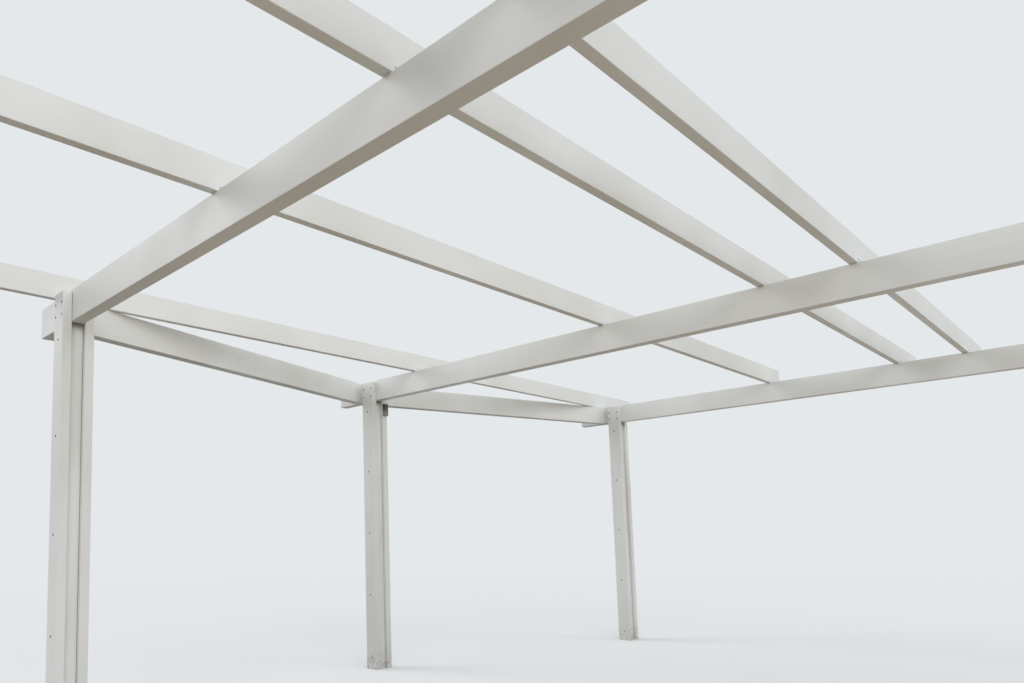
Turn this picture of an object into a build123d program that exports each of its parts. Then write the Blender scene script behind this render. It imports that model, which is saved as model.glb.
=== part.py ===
from build123d import *
import math
import os

# A timber pergola: three beams carried in the heads of six built-up posts, four slanting side beams that
# join the ends of the beams, and five rafters laid across the beams.
# X runs along the beams, Y along the rafters and Z up. The origin is on the ground, under the middle.
# All sizes are in millimetres.

# Heights
beam_top = 2565.0
board_top_below_beam_top = 19.0

# Beams and side beams, sawn from one section
beam_thickness = 76.0
beam_depth = 184.0
beam_tail = 360.0

# Posts: two broad boards with a narrower core board between them
post_board_width = 127.0
post_board_thickness = 53.0
core_board_width = 76.0
end_post_centre = 2081.0
middle_post_centre = 2794.0
near_bay = 3032.0
far_bay = 3076.0

# Rafters, one of which lies further towards the near side than the others
rafter_thickness = 42.0
rafter_depth = 147.0
rafter_length = 7315.0
rafter_slip = 400.0
outer_rafter_x = 2262.0
inner_rafter_x = 505.0
extra_rafter_x = 964.0

# Side beams pass this far from the corners of the posts
corner_clearance = 55.0

# Device box on the edge of one board
box_width = 50.0
box_height = 108.0
box_depth = 22.0
box_corner = 4.0
box_rim = 1.5
box_top_below_beam = 26.0

# Every sawn edge is eased by hand
eased_edge = 3.0

# Places that follow from the sizes above
beam_bottom = beam_top - beam_depth
board_top = beam_top - board_top_below_beam_top
half_beam = beam_thickness / 2
half_post = half_beam + post_board_thickness

# The far ends of four rafters and the near end of the fifth are equally far from the origin
far_beam_y = (near_bay + far_bay + rafter_slip) / 2
middle_beam_y = far_beam_y - far_bay
near_beam_y = middle_beam_y - near_bay
rafter_middle_y = (near_beam_y + far_beam_y) / 2
side_signs = {"left": -1, "right": 1}
rows = {
    "near": (near_beam_y, end_post_centre),
    "middle": (middle_beam_y, middle_post_centre),
    "far": (far_beam_y, end_post_centre),
}

os.makedirs("parts", exist_ok=True)


def save(piece, name):
    piece.part.label = name
    export_step(piece.part, f"parts/{name}.step")


def upright_board(centre_x, centre_y, width, thickness, height):
    """A board of a post, standing on the ground."""
    with BuildPart() as board:
        with BuildSketch(Plane.XY):
            with Locations((centre_x, centre_y)):
                Rectangle(width, thickness)
        extrude(amount=height)
        fillet(board.edges().filter_by(Axis.Z), eased_edge)
    return board


# Posts: the beam stands on the core board and is gripped by the front and back boards, which rise beside it
board_offset = (beam_thickness + post_board_thickness) / 2

for row, (row_y, post_x) in rows.items():
    for side, sign in side_signs.items():
        x = sign * post_x
        front = upright_board(x, row_y - board_offset, post_board_width, post_board_thickness, board_top)
        save(front, f"post_{row}_{side}_front_board")
        core = upright_board(x, row_y, core_board_width, beam_thickness, beam_bottom)
        save(core, f"post_{row}_{side}_core_board")
        back = upright_board(x, row_y + board_offset, post_board_width, post_board_thickness, board_top)
        save(back, f"post_{row}_{side}_back_board")

# The device box sits on the back board of the left middle post, on the edge that faces the middle
with BuildPart() as device_box:
    with BuildSketch(Plane.YZ.offset(-middle_post_centre + post_board_width / 2)):
        with Locations((middle_beam_y + board_offset, beam_bottom - box_top_below_beam - box_height / 2)):
            RectangleRounded(box_width, box_height, box_corner)
    extrude(amount=box_depth)
    fillet(device_box.faces().sort_by(Axis.X)[-1].edges(), box_rim)
save(device_box, "device_box")

# Beams: each runs through both posts of its row and ends in a plumb-cut tail beyond them
for row, (row_y, post_x) in rows.items():
    half_length = post_x + post_board_width / 2 + beam_tail
    with BuildPart() as beam:
        with BuildSketch(Plane.YZ.offset(-half_length)):
            with Locations((row_y, beam_bottom + beam_depth / 2)):
                Rectangle(beam_thickness, beam_depth)
        extrude(amount=2 * half_length)
        fillet(beam.edges().filter_by(Axis.X), eased_edge)
    save(beam, f"beam_{row}")


def side_beam(end_corner, middle_corner, end_face_y, middle_face_y, sign):
    """A side beam whose inner face runs between two points and whose ends are cut flat to the beams."""
    (end_x, end_y), (middle_x, middle_y) = end_corner, middle_corner
    slope = (middle_x - end_x) / (middle_y - end_y)
    width_along_x = beam_thickness * math.hypot(1, slope)
    inner_at_end = end_x + slope * (end_face_y - end_y)
    inner_at_middle = end_x + slope * (middle_face_y - end_y)
    with BuildPart() as beam:
        with BuildSketch(Plane.XY.offset(beam_bottom)):
            with BuildLine():
                Polyline(
                    (sign * inner_at_end, end_face_y),
                    (sign * inner_at_middle, middle_face_y),
                    (sign * (inner_at_middle + width_along_x), middle_face_y),
                    (sign * (inner_at_end + width_along_x), end_face_y),
                    close=True,
                )
            make_face()
        extrude(amount=beam_depth)
        fillet(beam.edges().sort_by(SortBy.LENGTH)[-4:], eased_edge)
    return beam


# Side beams: from the tail of an end beam to the tail of the middle beam, just outside the posts
end_corner_x = end_post_centre + post_board_width / 2 + corner_clearance
middle_corner_x = middle_post_centre + post_board_width / 2 + corner_clearance

for side, sign in side_signs.items():
    near_side = side_beam(
        (end_corner_x, near_beam_y + half_beam),
        (middle_corner_x, middle_beam_y - half_post),
        near_beam_y + half_beam,
        middle_beam_y - half_beam,
        sign,
    )
    save(near_side, f"side_beam_near_{side}")
    far_side = side_beam(
        (end_corner_x, far_beam_y - half_beam),
        (middle_corner_x, middle_beam_y + half_post),
        far_beam_y - half_beam,
        middle_beam_y + half_beam,
        sign,
    )
    save(far_side, f"side_beam_far_{side}")

# Rafters: they rest on all three beams and run out equally far past the near and the far one, except the
# inner left one
rafter_places = {
    "outer_left": (-outer_rafter_x, rafter_middle_y),
    "inner_left": (-inner_rafter_x, rafter_middle_y - rafter_slip),
    "inner_right": (inner_rafter_x, rafter_middle_y),
    "extra_right": (extra_rafter_x, rafter_middle_y),
    "outer_right": (outer_rafter_x, rafter_middle_y),
}

for place, (rafter_x, middle_y) in rafter_places.items():
    with BuildPart() as rafter:
        with BuildSketch(Plane.YZ.offset(rafter_x - rafter_thickness / 2)):
            with Locations((middle_y, beam_top + rafter_depth / 2)):
                Rectangle(rafter_length, rafter_depth)
        extrude(amount=rafter_thickness)
        fillet(rafter.edges().filter_by(Axis.Y), eased_edge)
    save(rafter, f"rafter_{place}")
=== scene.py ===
# %% [markdown]
# This lesson dresses a garden pergola of white-painted timber: beams held in the heads of built-up posts,
# slanting side beams between the tails of the beams, and rafters laid across them. The timber comes
# ready-made from the imported model, and its shapes stay as they are. What is left to do here is the paint on
# every board, the screws, and the finish of the small plastic box on one post. Loading comes first, because
# paint and screws find their places by the boards.

# %% Load the timber
import math

import bpy
from mathutils import Matrix, Vector


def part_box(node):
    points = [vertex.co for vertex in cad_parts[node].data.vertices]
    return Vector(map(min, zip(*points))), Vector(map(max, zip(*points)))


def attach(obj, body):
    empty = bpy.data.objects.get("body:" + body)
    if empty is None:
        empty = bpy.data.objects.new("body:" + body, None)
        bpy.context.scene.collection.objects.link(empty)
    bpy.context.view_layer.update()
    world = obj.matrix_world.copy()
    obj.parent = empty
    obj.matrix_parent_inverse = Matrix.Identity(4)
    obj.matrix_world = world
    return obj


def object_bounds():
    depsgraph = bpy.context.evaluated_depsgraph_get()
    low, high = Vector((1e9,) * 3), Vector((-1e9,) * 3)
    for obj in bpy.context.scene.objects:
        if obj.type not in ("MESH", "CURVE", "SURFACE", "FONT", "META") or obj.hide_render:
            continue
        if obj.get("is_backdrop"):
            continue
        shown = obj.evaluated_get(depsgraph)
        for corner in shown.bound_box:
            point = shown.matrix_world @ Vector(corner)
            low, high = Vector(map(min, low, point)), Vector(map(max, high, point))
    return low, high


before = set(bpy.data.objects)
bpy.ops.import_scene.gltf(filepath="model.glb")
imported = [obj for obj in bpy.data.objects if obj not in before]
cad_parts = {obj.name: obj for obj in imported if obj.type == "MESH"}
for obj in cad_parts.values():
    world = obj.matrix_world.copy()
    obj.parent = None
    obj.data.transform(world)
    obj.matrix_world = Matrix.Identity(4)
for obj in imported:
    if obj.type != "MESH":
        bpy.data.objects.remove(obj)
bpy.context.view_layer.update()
print("timber pieces:", len(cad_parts))

# %% [markdown]
# The photograph was taken from the near right corner, at chest height, with the camera turned to the left
# and tipped up a little. A wide lens makes the near beam loom. The posts lean away from each other as they
# do left and right of a lens axis that lies below and to the left of the picture's centre, so the picture is
# a cropped one. The camera gets a shift both ways for that: turning or tipping it further instead would make
# the posts lean otherwise.

# %% Set up the camera
picture_width = 1024
sensor_width_in_mm = 36
focal_length_in_pixels = 734.7
optical_axis_left_of_centre = 162.0
optical_axis_below_centre = 122.6
camera_place = Vector((2.009, -4.406, 1.150))
turned_left = math.radians(48.35)
tipped_up = math.radians(5.69)
leaning = math.radians(0.88)

bpy.ops.object.select_all(action="DESELECT")
bpy.ops.object.camera_add(location=camera_place)
camera = bpy.context.object
camera.matrix_world = (
    Matrix.Translation(camera_place)
    @ Matrix.Rotation(turned_left, 4, "Z")
    @ Matrix.Rotation(math.pi / 2 + tipped_up, 4, "X")
    @ Matrix.Rotation(-leaning, 4, "Z")
)
camera.data.sensor_width = sensor_width_in_mm
camera.data.lens = focal_length_in_pixels / picture_width * sensor_width_in_mm
camera.data.shift_x = optical_axis_left_of_centre / picture_width
camera.data.shift_y = optical_axis_below_centre / picture_width
bpy.context.scene.camera = camera
print("lens in millimetres:", round(camera.data.lens, 2))

# %% [markdown]
# Colours are written as sRGB hex values, and shaders work in linear light. One function does that change for
# every colour in the scene. A second one adds a shader node, sets what is given by name and fills the
# inputs, so that a material reads as a list of its steps. Ramps from one value to another, made by Map Range
# nodes, all ease in and out. The nodes could be clicked together by hand in the Shader Editor, but thirty
# boards need thirty copies of the paint, and code makes them all alike.

# %% Helpers for materials
soft_ramp = {"interpolation_type": "SMOOTHSTEP"}


def linear(hex_colour):
    """The linear RGBA that a shader socket takes, by the sRGB curve, for a colour written as #RRGGBB."""
    shares = [int(hex_colour[i : i + 2], 16) / 255 for i in (1, 3, 5)]
    return [s / 12.92 if s <= 0.04045 else ((s + 0.055) / 1.055) ** 2.4 for s in shares] + [1]


def add_node(tree, kind, inputs=None, **settings):
    """Adds a shader node with its settings, and fills its inputs, which are given by name or number.

    An input takes a value, an output, or a node, which then stands for its own first output.
    """
    node = tree.nodes.new("ShaderNode" + kind)
    for name, value in settings.items():
        setattr(node, name, value)
    for name, source in (inputs or {}).items():
        if isinstance(source, bpy.types.Node):
            source = source.outputs[0]
        if isinstance(source, bpy.types.NodeSocket):
            tree.links.new(source, node.inputs[name])
        else:
            node.inputs[name].default_value = source
    return node


def new_material(name):
    """An empty node material and its tree, ready for its own shader."""
    material = bpy.data.materials.new(name)
    material.use_nodes = True
    material.node_tree.nodes.clear()
    return material, material.node_tree


print("mid grey in linear light:", round(linear("#808080")[0], 3))

# %% [markdown]
# Every board is sawn fir under two coats of white exterior paint, put on by brush and roller. Paint fills
# the grain, so the eye sees no wood colour. What is left is a satin sheen, brush marks, coats of uneven
# thickness with a few knots showing through, and rougher cut ends. Posts have dusty feet too, and dark joints
# that are partly painted shade, with painted shade under their beams. One material for all would be shorter,
# but a pattern has to run along its board, and boards run four ways here. So each board gets its own copy of
# the paint, turned and centred by a Mapping node. Inside a copy, X is always the length of the board. The
# next cells make the parts of the paint one by one, and the boards that need it are listed first.

# %% List the boards
boards = {name: piece for name, piece in sorted(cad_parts.items()) if name != "device_box"}
print("boards to paint:", len(boards))

# %% [markdown]
# A brush leaves long faint ridges, and its hairs leave finer lines. Both are noise stretched along the
# board, because a wave texture would make ridges that are all alike. Real ridges are about 2 mm apart. They
# are drawn 9 mm apart, and the hair lines 2.5 mm, because finer ones would vanish in the render.

# %% Brush marks
ridge_spacing = 0.009
hair_spacing = 0.0025
mark_length = 0.45


def brush_marks(tree, along):
    """Two patterns of noise stretched along the board, from 0 to 1: the ridges and the finer hair lines."""
    ridge_room = add_node(tree, "Mapping", {"Vector": along, "Scale": (ridge_spacing / mark_length, 1, 1)})
    ridges = add_node(tree, "TexNoise", {"Vector": ridge_room, "Scale": 1 / ridge_spacing, "Detail": 3.0})
    hair_room = add_node(tree, "Mapping", {"Vector": along, "Scale": (hair_spacing / mark_length, 1, 1)})
    hairs = add_node(tree, "TexNoise", {"Vector": hair_room, "Scale": 1 / hair_spacing, "Detail": 2.0})
    return ridges, hairs


print("ridges across 100 mm of a board:", round(0.1 / ridge_spacing))

# %% [markdown]
# Two coats never cover evenly. Where they are thinner, in slow patches of nearly a metre, the white is a
# little duller, and here and there a knot of the wood still shows as a faint warm spot. The patches are
# plain noise. The knots are the surroundings of scattered Voronoi points, which gives spots of one size at
# uneven distances. Across the board the pattern is squeezed, because a saw cuts most knots slantwise and
# leaves them longer than wide.

# %% Thin coats and knots
thin_patch_length = 0.9
knot_spacing = 0.62
knot_radius = 0.014
knot_blur = 2.6
knot_squeeze = 2.2


def thin_coats(tree, along):
    """Slow noise, from 0 where the coats are full to 1 where they are thin."""
    return add_node(tree, "TexNoise", {"Vector": along, "Scale": 1 / thin_patch_length, "Detail": 2.0})


def knot_mask(tree, along):
    """1 in the middle of a knot, fading to 0 around it."""
    room = add_node(tree, "Mapping", {"Vector": along, "Scale": (1, knot_squeeze, knot_squeeze)})
    spots = add_node(tree, "TexVoronoi", {"Vector": room, "Scale": 1 / knot_spacing, "Randomness": 1.0})
    rim, edge = knot_radius / knot_spacing, knot_blur * knot_radius / knot_spacing
    fade = {"Value": spots, "From Min": rim, "From Max": edge, "To Min": 1.0, "To Max": 0.0}
    return add_node(tree, "MapRange", fade, **soft_ramp)


knot_length = 2000 * knot_radius
print("a knot in millimetres:", round(knot_length), "long and", round(knot_length / knot_squeeze), "wide")

# %% [markdown]
# Cut ends are end grain, which drinks the paint and looks rougher and duller than the faces. They could be
# given a material of their own, face by face. A mask on the last 0.6 mm of the board's length does the
# same and needs no choice of faces, and the ridges make it patchy.

# %% Cut ends
end_begins = 0.0006
end_is_full = 0.0002


def cut_end_mask(tree, place, ridges, length):
    """How much the end grain shows: patchy at both ends of the board, and 0 on its faces."""
    from_middle = add_node(tree, "Math", {0: place["X"]}, operation="ABSOLUTE")
    reach = {"From Min": length / 2 - end_begins, "From Max": length / 2 - end_is_full}
    at_end = add_node(tree, "MapRange", {"Value": from_middle, **reach}, **soft_ramp)
    patches = {"Value": ridges, "From Min": 0.3, "From Max": 0.7, "To Min": 0.35}
    patchy = add_node(tree, "MapRange", patches, **soft_ramp)
    return add_node(tree, "Math", {0: at_end, 1: patchy}, operation="MULTIPLY")


print("end grain shows on the last", round(1000 * end_begins, 1), "mm of a board")

# %% [markdown]
# Where two boards of a post meet, or a board meets its beam, a thin dark line is painted: partly bare wood
# that no brush reached, partly painted shade of the narrow gap. The top of the core board, between two boards
# and under a beam, gets painted shade that darkens towards the beam. Modelled gaps would show the same lines,
# but the boards of this post touch and their shapes stay, so a mask darkens the paint there. It depends on
# the
# kind of board: a core board has joints on both sides and painted shade at its top, and a front or back board
# only a joint where its inner face meets the beam.

# %% Joints and painted shade of a post
# Dark joint lines: partly bare wood that no brush reached, partly painted shade of the gap between boards.
joint_line = 0.0045
# Painted shade under a beam: how far down the top of a core board darkens.
shade_below_beam = 0.055


def joint_and_shade_mask(tree, place, height, kind, length, half_thickness, beam_bottom):
    """1 where a board of a post meets its neighbours and, on a core board, in the painted shade under its
    beam; 0 elsewhere.
    """
    edge = {"From Min": half_thickness - joint_line, "From Max": half_thickness - joint_line / 3}
    if kind == "core":
        off_middle = add_node(tree, "Math", {0: place["Y"]}, operation="ABSOLUTE")
        at_sides = add_node(tree, "MapRange", {"Value": off_middle, **edge}, **soft_ramp)
        # Painted shade: the top of a core board darkens towards the beam above it.
        top = {"Value": place["X"], "From Min": length / 2 - shade_below_beam, "From Max": length / 2}
        shaded_top = add_node(tree, "MapRange", top, **soft_ramp)
        return add_node(tree, "Math", {0: at_sides, 1: shaded_top}, operation="MAXIMUM")
    towards_core = 1.0 if kind == "front" else -1.0
    inwards = add_node(tree, "Math", {0: place["Y"], 1: towards_core}, operation="MULTIPLY")
    at_edge = add_node(tree, "MapRange", {"Value": inwards, **edge}, **soft_ramp)
    above = {"Value": height, "From Min": beam_bottom, "From Max": beam_bottom + joint_line}
    beside_beam = add_node(tree, "MapRange", above, **soft_ramp)
    return add_node(tree, "Math", {0: at_edge, 1: beside_beam}, operation="MULTIPLY")


print("joint line and sheltered top in millimetres:", 1000 * joint_line, round(1000 * shade_below_beam))

# %% [markdown]
# Rain throws dust up against the feet of the posts, where it dries in splashes. A plain brown gradient would
# look like a second coat of paint, so the mask that fades with height is broken up by noise.

# %% Dust on the feet
dust_height = 0.22
most_dust = 0.75
splash_size = 1 / 26


def dust_mask(tree, where, height):
    """How much dust covers a post: most at its foot, in splashes, and 0 from dust_height up."""
    fade = {"Value": height, "From Max": dust_height, "To Min": most_dust, "To Max": 0.0}
    near_foot = add_node(tree, "MapRange", fade, **soft_ramp)
    noise = add_node(tree, "TexNoise", {"Vector": where, "Scale": 1 / splash_size, "Detail": 4.0})
    splashes = add_node(tree, "MapRange", {"Value": noise, "From Min": 0.35, "From Max": 0.7}, **soft_ramp)
    return add_node(tree, "Math", {0: near_foot, 1: splashes}, operation="MULTIPLY")


print("dust reaches up to", round(1000 * dust_height), "mm, in splashes of", round(1000 * splash_size), "mm")

# %% [markdown]
# Now the paint is put together. Its colour is built up as a painter would see it, one layer over the other,
# and every layer is a mask with a colour. The sheen is satin, and a little rougher where the coats are thin.
# Three Bump nodes in a row carry the ridges, the hair lines and the knots. Real relief this fine would need
# millions of faces.

# %% White paint for one board
paint_colour = linear("#E7E9E7")
thin_paint_colour = linear("#DDDDD9")
knot_colour = linear("#D3CEC0")
end_colour = linear("#D2D0CA")
# Colour of the dark joints, which are partly painted shade, and of the painted shade under the beams.
joint_and_shade_colour = linear("#6A655C")
dust_colour = linear("#B9B0A2")
knot_strength = 0.4
joint_and_shade_strength = 0.85


def white_paint(name, centre, turn, length, offset, post_board=None):
    """White exterior paint, brushed along a board that has that length and centre and is turned by turn.

    For a board of a post, post_board holds its kind, half its thickness and the underside of its beam.
    """
    material, tree = new_material(name)
    where = add_node(tree, "TexCoord").outputs["Object"]
    lie = {"Vector": where, "Location": centre, "Rotation": turn}
    along = add_node(tree, "Mapping", lie, vector_type="TEXTURE")
    shifted = add_node(tree, "VectorMath", {0: along, 1: offset})
    ridges, hairs = brush_marks(tree, shifted)
    thinness = thin_coats(tree, shifted)
    knots = knot_mask(tree, shifted)

    thin = add_node(tree, "MapRange", {"Value": thinness, "From Min": 0.35, "From Max": 0.68}, **soft_ramp)
    crests = {"Value": ridges, "From Min": 0.5, "From Max": 0.75, "To Max": 0.35}
    on_crests = add_node(tree, "MapRange", crests, **soft_ramp)
    faint_knots = add_node(tree, "Math", {0: knots, 1: knot_strength}, operation="MULTIPLY")
    place = add_node(tree, "SeparateXYZ", {0: along}).outputs
    at_ends = cut_end_mask(tree, place, ridges, length)
    layers = [
        (thin, thin_paint_colour),
        (on_crests, thin_paint_colour),
        (faint_knots, knot_colour),
        (at_ends, end_colour),
    ]
    if post_board:
        height = add_node(tree, "SeparateXYZ", {0: where}).outputs["Z"]
        kind, half_thickness, beam_bottom = post_board
        joint = joint_and_shade_mask(tree, place, height, kind, length, half_thickness, beam_bottom)
        # Dark joints, partly painted shade, and painted shade under the beam at the top of a core board.
        dark_joint_and_shade = add_node(tree, "Math", {0: joint, 1: joint_and_shade_strength}, operation="MULTIPLY")
        layers += [(dark_joint_and_shade, joint_and_shade_colour), (dust_mask(tree, where, height), dust_colour)]
    colour = paint_colour
    for share, layer_colour in layers:
        # A Mix node takes its share at 0 and its two colours at 6 and 7, and gives a colour at output 2.
        mixed = add_node(tree, "Mix", {0: share, 6: colour, 7: layer_colour}, data_type="RGBA")
        colour = mixed.outputs[2]

    sheen = {"Value": thinness, "From Min": 0.3, "From Max": 0.7, "To Min": 0.40, "To Max": 0.52}
    rough = add_node(tree, "MapRange", sheen, **soft_ramp)
    relief = add_node(tree, "Bump", {"Height": ridges, "Strength": 0.25, "Distance": 0.0006})
    hair_lines = {"Height": hairs, "Strength": 0.2, "Distance": 0.0002, "Normal": relief}
    relief = add_node(tree, "Bump", hair_lines)
    raised_knots = {"Height": knots, "Strength": 0.3, "Distance": 0.0006, "Normal": relief}
    relief = add_node(tree, "Bump", raised_knots)
    satin = {"Base Color": colour, "Roughness": rough, "IOR": 1.5, "Normal": relief}
    add_node(tree, "OutputMaterial", {"Surface": add_node(tree, "BsdfPrincipled", satin)})
    return material


print("paint colour in linear light:", [round(share, 3) for share in paint_colour[:3]])

# %% [markdown]
# Which way a board runs shows in its name and in its own mesh. Beams run along X, rafters along Y and post
# boards stand up. A side beam slants, so its angle is measured between the middles of its two ends. Angles
# and lengths typed in by hand would do too, but these follow if a bay gets wider. Each copy of the paint is
# also shifted by its own number, so that no two boards have their knots at the same places.

# %% Paint every board
end_reach = 0.001
pattern_steps = (7.3, 3.1, 1.7)


def end_middles(board):
    """The middles of the two ends of a board that runs mostly along Y, seen from above."""
    points = [v.co for v in board.data.vertices]
    ends = []
    for y in (min(p.y for p in points), max(p.y for p in points)):
        near = [p for p in points if abs(p.y - y) < end_reach]
        ends.append(Vector(((min(p.x for p in near) + max(p.x for p in near)) / 2, y)))
    return ends


def lie_of(name, board):
    """The Mapping rotation that lays local X along the board, and the board's length."""
    low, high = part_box(name)
    if name.startswith("beam"):
        return (0, 0, 0), high.x - low.x
    if name.startswith("rafter"):
        return (0, 0, math.pi / 2), high.y - low.y
    if name.startswith("post"):
        return (0, -math.pi / 2, 0), high.z - low.z
    start, end = end_middles(board)
    return (0, 0, math.atan2(end.y - start.y, end.x - start.x)), (end - start).length


for number, (name, board) in enumerate(boards.items()):
    low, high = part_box(name)
    turn, length = lie_of(name, board)
    offset = tuple(step * number for step in pattern_steps)
    post_board = None
    if name.startswith("post"):
        _, row, _, kind, _ = name.split("_")
        post_board = kind, (high.y - low.y) / 2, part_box(f"beam_{row}")[0].z
    paint = white_paint(f"white_exterior_paint_{name}", (low + high) / 2, turn, length, offset, post_board)
    board.data.materials.clear()
    board.data.materials.append(paint)
print("painted boards:", len(boards))

# %% [markdown]
# The boards of a post are held together by dark coated structural screws. Four go through the head of the
# board into the beam, and single ones run down the middle into the core board. A dark dot in the paint would
# pass for one from afar, but a real head catches the light. It is a broad washer with a raised middle and a
# drive socket. It is modelled once, with its face towards -Y, from a cylinder whose front face is inset,
# pushed out and recessed, and then copied to its places.

# %% Model one screw head
head_sides = 16
head_radius = 0.0068
head_depth = 0.002
head_proud = 0.0012
washer_rim = 0.0018
raised_ring = 0.0024
ring_proud = 0.0004
socket_depth = 0.0014
faces_forward = -0.9


def work_on(piece):
    """Selects one piece alone and makes it the active one."""
    bpy.ops.object.select_all(action="DESELECT")
    piece.select_set(True)
    bpy.context.view_layer.objects.active = piece


def select_faces(piece, wanted):
    """Enters edit mode with only those faces selected whose centre and normal pass the test."""
    work_on(piece)
    bpy.ops.object.mode_set(mode="EDIT")
    bpy.ops.mesh.select_mode(type="FACE")
    bpy.ops.mesh.select_all(action="DESELECT")
    bpy.ops.object.mode_set(mode="OBJECT")
    for face in piece.data.polygons:
        face.select = wanted(face.center, face.normal)
    bpy.ops.object.mode_set(mode="EDIT")


bpy.ops.object.select_all(action="DESELECT")
bpy.ops.mesh.primitive_cylinder_add(
    vertices=head_sides,
    radius=head_radius,
    depth=head_depth,
    location=(0, head_depth / 2, 0),
    rotation=(math.pi / 2, 0, 0),
)
screw_head = bpy.context.object
bpy.ops.object.transform_apply(location=True, rotation=True, scale=True)
select_faces(screw_head, lambda centre, normal: normal.y < faces_forward)
bpy.ops.mesh.inset(thickness=washer_rim)
bpy.ops.transform.translate(value=(0, -head_proud, 0))
bpy.ops.mesh.inset(thickness=raised_ring)
bpy.ops.transform.translate(value=(0, -ring_proud, 0))
bpy.ops.mesh.extrude_region_move(TRANSFORM_OT_translate={"value": (0, socket_depth, 0)})
bpy.ops.object.mode_set(mode="OBJECT")
print("faces of a screw head:", len(screw_head.data.polygons))

# %% [markdown]
# A coated screw looks dark brown, nearly black, with a dull metal sheen, and it is a little lighter where
# the driver has rubbed the coating. The toe screws in the rafters are bright zinc instead, duller where it
# is rubbed. Both are one finish in two colours. Real rubbed spots are a few tenths of a millimetre across.
# They are drawn about 0.8 mm, because a head is only a few pixels wide.

# %% Screw finishes
rubbed_spot_size = 0.0008


def screw_steel(name, colour, rubbed_colour, roughness):
    """Plated or coated steel, with small rubbed spots."""
    material, tree = new_material(name)
    where = add_node(tree, "TexCoord").outputs["Object"]
    noise = add_node(tree, "TexNoise", {"Vector": where, "Scale": 1 / rubbed_spot_size, "Detail": 2.0})
    rubbed = add_node(tree, "MapRange", {"Value": noise, "From Min": 0.5, "From Max": 0.7}, **soft_ramp)
    coats = {0: rubbed, 6: linear(colour), 7: linear(rubbed_colour)}
    mixed = add_node(tree, "Mix", coats, data_type="RGBA").outputs[2]
    bump = add_node(tree, "Bump", {"Height": noise, "Strength": 0.3, "Distance": 0.0001})
    finish = {"Base Color": mixed, "Roughness": roughness, "Metallic": 0.6, "Normal": bump}
    add_node(tree, "OutputMaterial", {"Surface": add_node(tree, "BsdfPrincipled", finish)})
    return material


dark_screw = screw_steel("dark_coated_steel_screw", "#221E1B", "#3E3833", 0.55)
zinc_screw = screw_steel("bright_zinc_plated_screw", "#B9BCBD", "#8C8F90", 0.35)
print("screw finishes:", dark_screw.name, zinc_screw.name)

# %% [markdown]
# The screws of one board become one piece. Copies that share one mesh would be lighter, but each copy needs
# its place in its own mesh, because the object itself stays at the origin, as the boards do. So each copy
# has its own mesh, which is moved to its place, and the copies are then joined.

# %% Put screws where the boards need them
screw_across = 0.046
head_rows_below_top = (0.060, 0.130)
first_single_below_top = 0.268
single_spacing = 0.545
lowest_single = 0.05
smooth_below = math.radians(30)


def drive_screws(name, places, material):
    """Copies the screw head to each place, given as a matrix, and joins the copies into one piece."""
    copies = []
    for place in places:
        copy = screw_head.copy()
        copy.data = screw_head.data.copy()
        copy.data.transform(place)
        bpy.context.scene.collection.objects.link(copy)
        copies.append(copy)
    work_on(copies[0])
    for copy in copies[1:]:
        copy.select_set(True)
    bpy.ops.object.join()
    piece = bpy.context.object
    piece.name = name
    piece.data.name = name
    piece.data.materials.clear()
    piece.data.materials.append(material)
    bpy.ops.object.shade_smooth_by_angle(angle=smooth_below)
    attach(piece, "root")


def board_screw_places(name, facing_back):
    """Where the screws of a front or back board go. A head that faces back is turned half round."""
    low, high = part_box(name)
    middle_x = (low.x + high.x) / 2
    sides = (middle_x - screw_across, middle_x + screw_across)
    spots = [(x, high.z - down) for x in sides for down in head_rows_below_top]
    height = high.z - first_single_below_top
    while height > lowest_single:
        spots.append((middle_x, height))
        height -= single_spacing
    turn = Matrix.Rotation(math.pi if facing_back else 0, 4, "Z")
    y = high.y if facing_back else low.y
    return [Matrix.Translation((x, y, z)) @ turn for x, z in spots]


post_boards = [name for name in sorted(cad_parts) if name.startswith("post") and "core" not in name]
for name in post_boards:
    drive_screws(f"screws_{name}", board_screw_places(name, "back" in name), dark_screw)
print("screwed post boards:", len(post_boards))

# %% [markdown]
# Each rafter is toe-screwed to each beam: two screws slant down through its right face into the beam below.
# Their heads lie half sunk in the face, just above the top of the beam. The same head serves, turned to face
# right and tipped by the slope of the screw.

# %% Toe screws at the crossings
toe_slope = math.radians(40)
toe_above_beam = 0.022
toe_from_middle = 0.017


def toe_screw_places(rafter):
    """Two slanting heads in the rafter's right face over each beam."""
    face_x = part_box(rafter)[1].x
    tipped = Matrix.Rotation(-toe_slope, 4, "Y") @ Matrix.Rotation(math.pi / 2, 4, "Z")
    places = []
    for beam in ("beam_near", "beam_middle", "beam_far"):
        low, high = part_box(beam)
        middle_y = (low.y + high.y) / 2
        for y in (middle_y - toe_from_middle, middle_y + toe_from_middle):
            places.append(Matrix.Translation((face_x, y, high.z + toe_above_beam)) @ tipped)
    return places


rafters = [name for name in sorted(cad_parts) if name.startswith("rafter")]
for name in rafters:
    drive_screws(f"toe_screws_{name}", toe_screw_places(name), zinc_screw)
print("toe-screwed rafters:", len(rafters))

# %% [markdown]
# One post carries a small electrical device box on the edge that faces the middle of the pergola. It is
# moulded PVC, weathered to a brown grey, with faint streaks where rain ran over it, and a fine spark-eroded
# texture from its mould. The grain of such a texture is about 0.1 mm. It is drawn 1.2 mm, because the finer
# one would not show at all. The shadow of the beam above is painted on it: dark at the top, paler lower down.
# The whole box could take one grey, but its dark top is what the eye finds first under the beam.

# %% Device box finish
mould_texture_size = 0.0012
streak_width = 0.006
streak_length = 0.075
# Painted shadow of the beam above: the top of the box stays dark down to this depth, and is paler below.
fully_shaded_top = 0.02
out_of_shade_at_foot = 0.85

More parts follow.
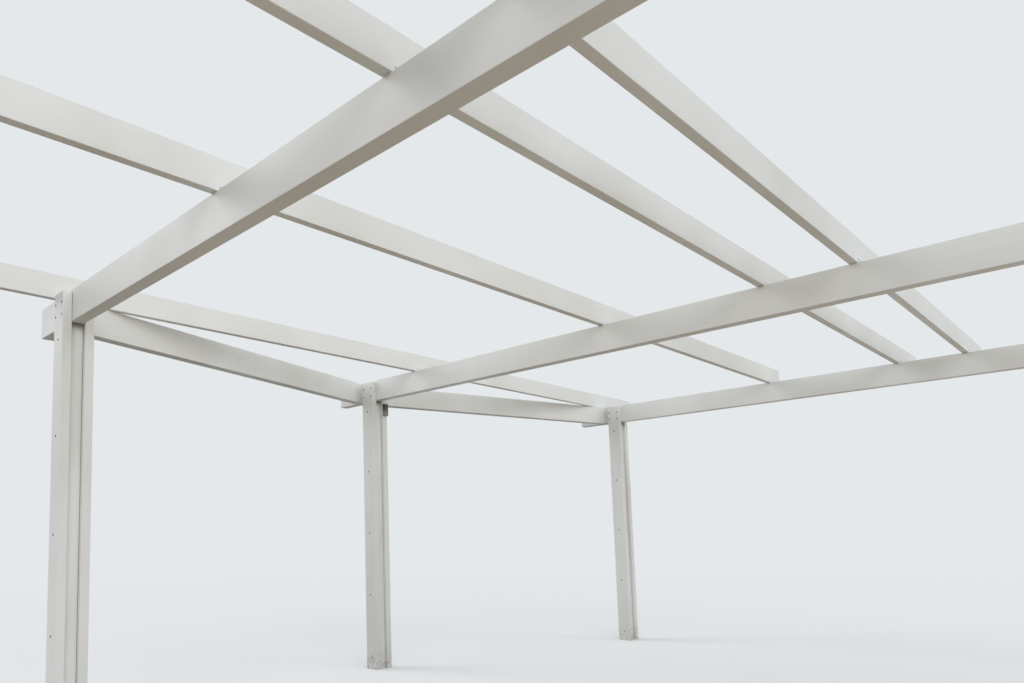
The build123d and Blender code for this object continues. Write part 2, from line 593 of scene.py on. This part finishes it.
device_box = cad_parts["device_box"]
box_low, box_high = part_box("device_box")
pvc, tree = new_material("weathered_brown_grey_pvc")
where = add_node(tree, "TexCoord").outputs["Object"]
texture = add_node(tree, "TexNoise", {"Vector": where, "Scale": 1 / mould_texture_size})
rain_room = add_node(tree, "Mapping", {"Vector": where, "Scale": (1, 1, streak_width / streak_length)})
rain = add_node(tree, "TexNoise", {"Vector": rain_room, "Scale": 1 / streak_width, "Detail": 2.0})
height = add_node(tree, "SeparateXYZ", {0: where}).outputs["Z"]
# Painted shadow of the beam above the box: dark at its top, paler towards its foot, then streaked by rain.
fade = {"Value": height, "From Min": box_low.z, "From Max": box_high.z - fully_shaded_top}
out_of_shade = add_node(tree, "MapRange", {**fade, "To Min": out_of_shade_at_foot, "To Max": 0.0}, **soft_ramp)
unevenness = {"Value": rain, "From Min": 0.35, "From Max": 0.7, "To Min": -0.15, "To Max": 0.2}
streaks = add_node(tree, "MapRange", unevenness, **soft_ramp)
shade_and_streaks = add_node(tree, "Math", {0: out_of_shade, 1: streaks}, operation="ADD")
tones = {0: shade_and_streaks, 6: linear("#3B332E"), 7: linear("#9A9187")}
grey = add_node(tree, "Mix", tones, data_type="RGBA").outputs[2]
bump = add_node(tree, "Bump", {"Height": texture, "Strength": 0.2, "Distance": 0.0001})
moulded = {"Base Color": grey, "Roughness": 0.6, "IOR": 1.54, "Normal": bump}
add_node(tree, "OutputMaterial", {"Surface": add_node(tree, "BsdfPrincipled", moulded)})
device_box.data.materials.clear()
device_box.data.materials.append(pvc)
print("device box in millimetres:", [round(1000 * side) for side in box_high - box_low])

# %% [markdown]
# Its cover is held by two small screws, one above the other. The big screw head is scaled down for them and
# turned to face +X. After that the first head has done its work and is removed.

# %% Cover screws
cover_screw_from_end = 0.012
cover_screw_scale = 0.5

middle_y = (box_low.y + box_high.y) / 2
face_out = Matrix.Rotation(math.pi / 2, 4, "Z") @ Matrix.Scale(cover_screw_scale, 4)
heights = (box_low.z + cover_screw_from_end, box_high.z - cover_screw_from_end)
cover_places = [Matrix.Translation((box_high.x, middle_y, z)) @ face_out for z in heights]
drive_screws("cover_screws_device_box", cover_places, zinc_screw)
bpy.data.objects.remove(screw_head)
print("cover screws:", len(cover_places), "of", round(2000 * head_radius * cover_screw_scale, 1), "mm")

# %% [markdown]
# The floor is a plain pale disc, much larger than the pergola. To the camera it is pale, keeps the shadow of
# the pergola and fades into the backdrop further out. In the photograph the undersides of the beams are warm
# and darker than their sides, and darkest at the left. A pale floor would light them too brightly from
# below. So the light that the floor sends up is that of a tan one, which turns dark brown on the left.

# %% Floor
floor_radius = 80.0
floor_sides = 96
backdrop_colour = linear("#E4E8EA")
floor_colour = linear("#E9E9E7")
tan_bounce = linear("#AC9F8E")
dark_bounce = linear("#3E2F21")
dark_edge = -2.0
dark_edge_softness = 1.0
fade_starts = 7.0
fade_ends = 26.0

bpy.ops.object.select_all(action="DESELECT")
bpy.ops.mesh.primitive_circle_add(
    vertices=floor_sides, radius=floor_radius, fill_type="NGON", location=(0, 0, 0)
)
floor = bpy.context.object
floor.name = "floor"
floor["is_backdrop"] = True


def seen_directly(tree):
    """1 for what the camera sees, straight, reflected or through glass, and 0 for light on the object."""
    path = add_node(tree, "LightPath").outputs
    straight = {0: path["Is Camera Ray"], 1: path["Is Glossy Ray"]}
    reflected = add_node(tree, "Math", straight, operation="MAXIMUM")
    return add_node(tree, "Math", {0: reflected, 1: path["Is Transmission Ray"]}, operation="MAXIMUM")


pale_floor, tree = new_material("pale_studio_floor")
where = add_node(tree, "TexCoord").outputs["Object"]
distance = add_node(tree, "VectorMath", {0: where}, operation="LENGTH").outputs["Value"]
shadowed = add_node(tree, "BsdfDiffuse", {"Color": floor_colour})
backdrop = add_node(tree, "Emission", {"Color": backdrop_colour, "Strength": 1.0})
fade = {"Value": distance, "From Min": fade_starts, "From Max": fade_ends}
far_away = add_node(tree, "MapRange", fade, **soft_ramp)
pale = add_node(tree, "MixShader", {0: far_away, 1: shadowed, 2: backdrop})
sideways = add_node(tree, "SeparateXYZ", {0: where}).outputs["X"]
edge = {"From Min": dark_edge - dark_edge_softness, "From Max": dark_edge + dark_edge_softness}
not_dark = add_node(tree, "MapRange", {"Value": sideways, **edge}, **soft_ramp)
tones = {0: not_dark, 6: dark_bounce, 7: tan_bounce}
bounce_colour = add_node(tree, "Mix", tones, data_type="RGBA").outputs[2]
bounce = add_node(tree, "BsdfDiffuse", {"Color": bounce_colour})
shown = add_node(tree, "MixShader", {0: seen_directly(tree), 1: bounce, 2: pale})
add_node(tree, "OutputMaterial", {"Surface": shown})
floor.data.materials.append(pale_floor)
print("floor radius in metres:", floor_radius)

# %% [markdown]
# The day was overcast, so most of the light is an even dome, of which the camera sees only a plain backdrop.
# Its brighter parts are three suns with a very wide angle, whose shadows are as soft as in the photograph:
# one to the right, which lights the right faces of the rafters, one at the near right, and the strongest at
# the near left, which lights the near faces of beams and posts. Suns light the floor evenly, where a panel
# close to the timber would leave a bright pool. Only the left side beams need a panel, because the rafters
# shade them from the suns. It hangs high over the near bay, and the camera doesn't see it. All lamps are
# kept low enough for the tops of the rafters to hold their tone.

# %% Light
dome_light = linear("#F1F6FC")
dome_strength = 0.75
sun_angle = math.radians(40)
sun_distance = 20

world = bpy.data.worlds.new("overcast_dome")
world.use_nodes = True
world.node_tree.nodes.clear()
bpy.context.scene.world = world
tree = world.node_tree
dome = add_node(tree, "Background", {"Color": dome_light, "Strength": dome_strength})
plain = add_node(tree, "Background", {"Color": backdrop_colour, "Strength": 1.0})
sky = add_node(tree, "MixShader", {0: seen_directly(tree), 1: dome, 2: plain})
add_node(tree, "OutputWorld", {"Surface": sky})


def soft_sun(name, azimuth, height, strength):
    """A sun that shines from azimuth, counted from +X towards +Y, at a height in degrees."""
    around, up = math.radians(azimuth), math.radians(height)
    level = math.cos(up)
    towards_sun = Vector((math.cos(around) * level, math.sin(around) * level, math.sin(up)))
    turn = towards_sun.to_track_quat("Z", "Y").to_euler()
    bpy.ops.object.light_add(type="SUN", location=towards_sun * sun_distance, rotation=turn)
    sun = bpy.context.object
    sun.name = name
    sun.data.energy = strength
    sun.data.angle = sun_angle


bpy.ops.object.select_all(action="DESELECT")
soft_sun("right_sun", azimuth=20, height=25, strength=0.45)
soft_sun("near_right_sun", azimuth=-40, height=25, strength=0.62)
soft_sun("left_sun", azimuth=215, height=30, strength=0.85)

panel_place = Vector((0.3, -1.8, 6.1))
panel_aim = Vector((-2.6, -1.4, 2.4))
panel_side = 3.0
panel_watts = 32
turn = (panel_place - panel_aim).to_track_quat("Z", "Y").to_euler()
bpy.ops.object.light_add(type="AREA", location=panel_place, rotation=turn)
panel = bpy.context.object
panel.name = "overhead_panel"
panel.data.size = panel_side
panel.data.energy = panel_watts
panel.visible_camera = False
bpy.context.scene.view_settings.view_transform = "Standard"

# %% [markdown]
# Last, the bounds of the dressed pergola are measured, screws and paint included, the floor left out.

# %% Measure the dressed pergola
low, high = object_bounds()
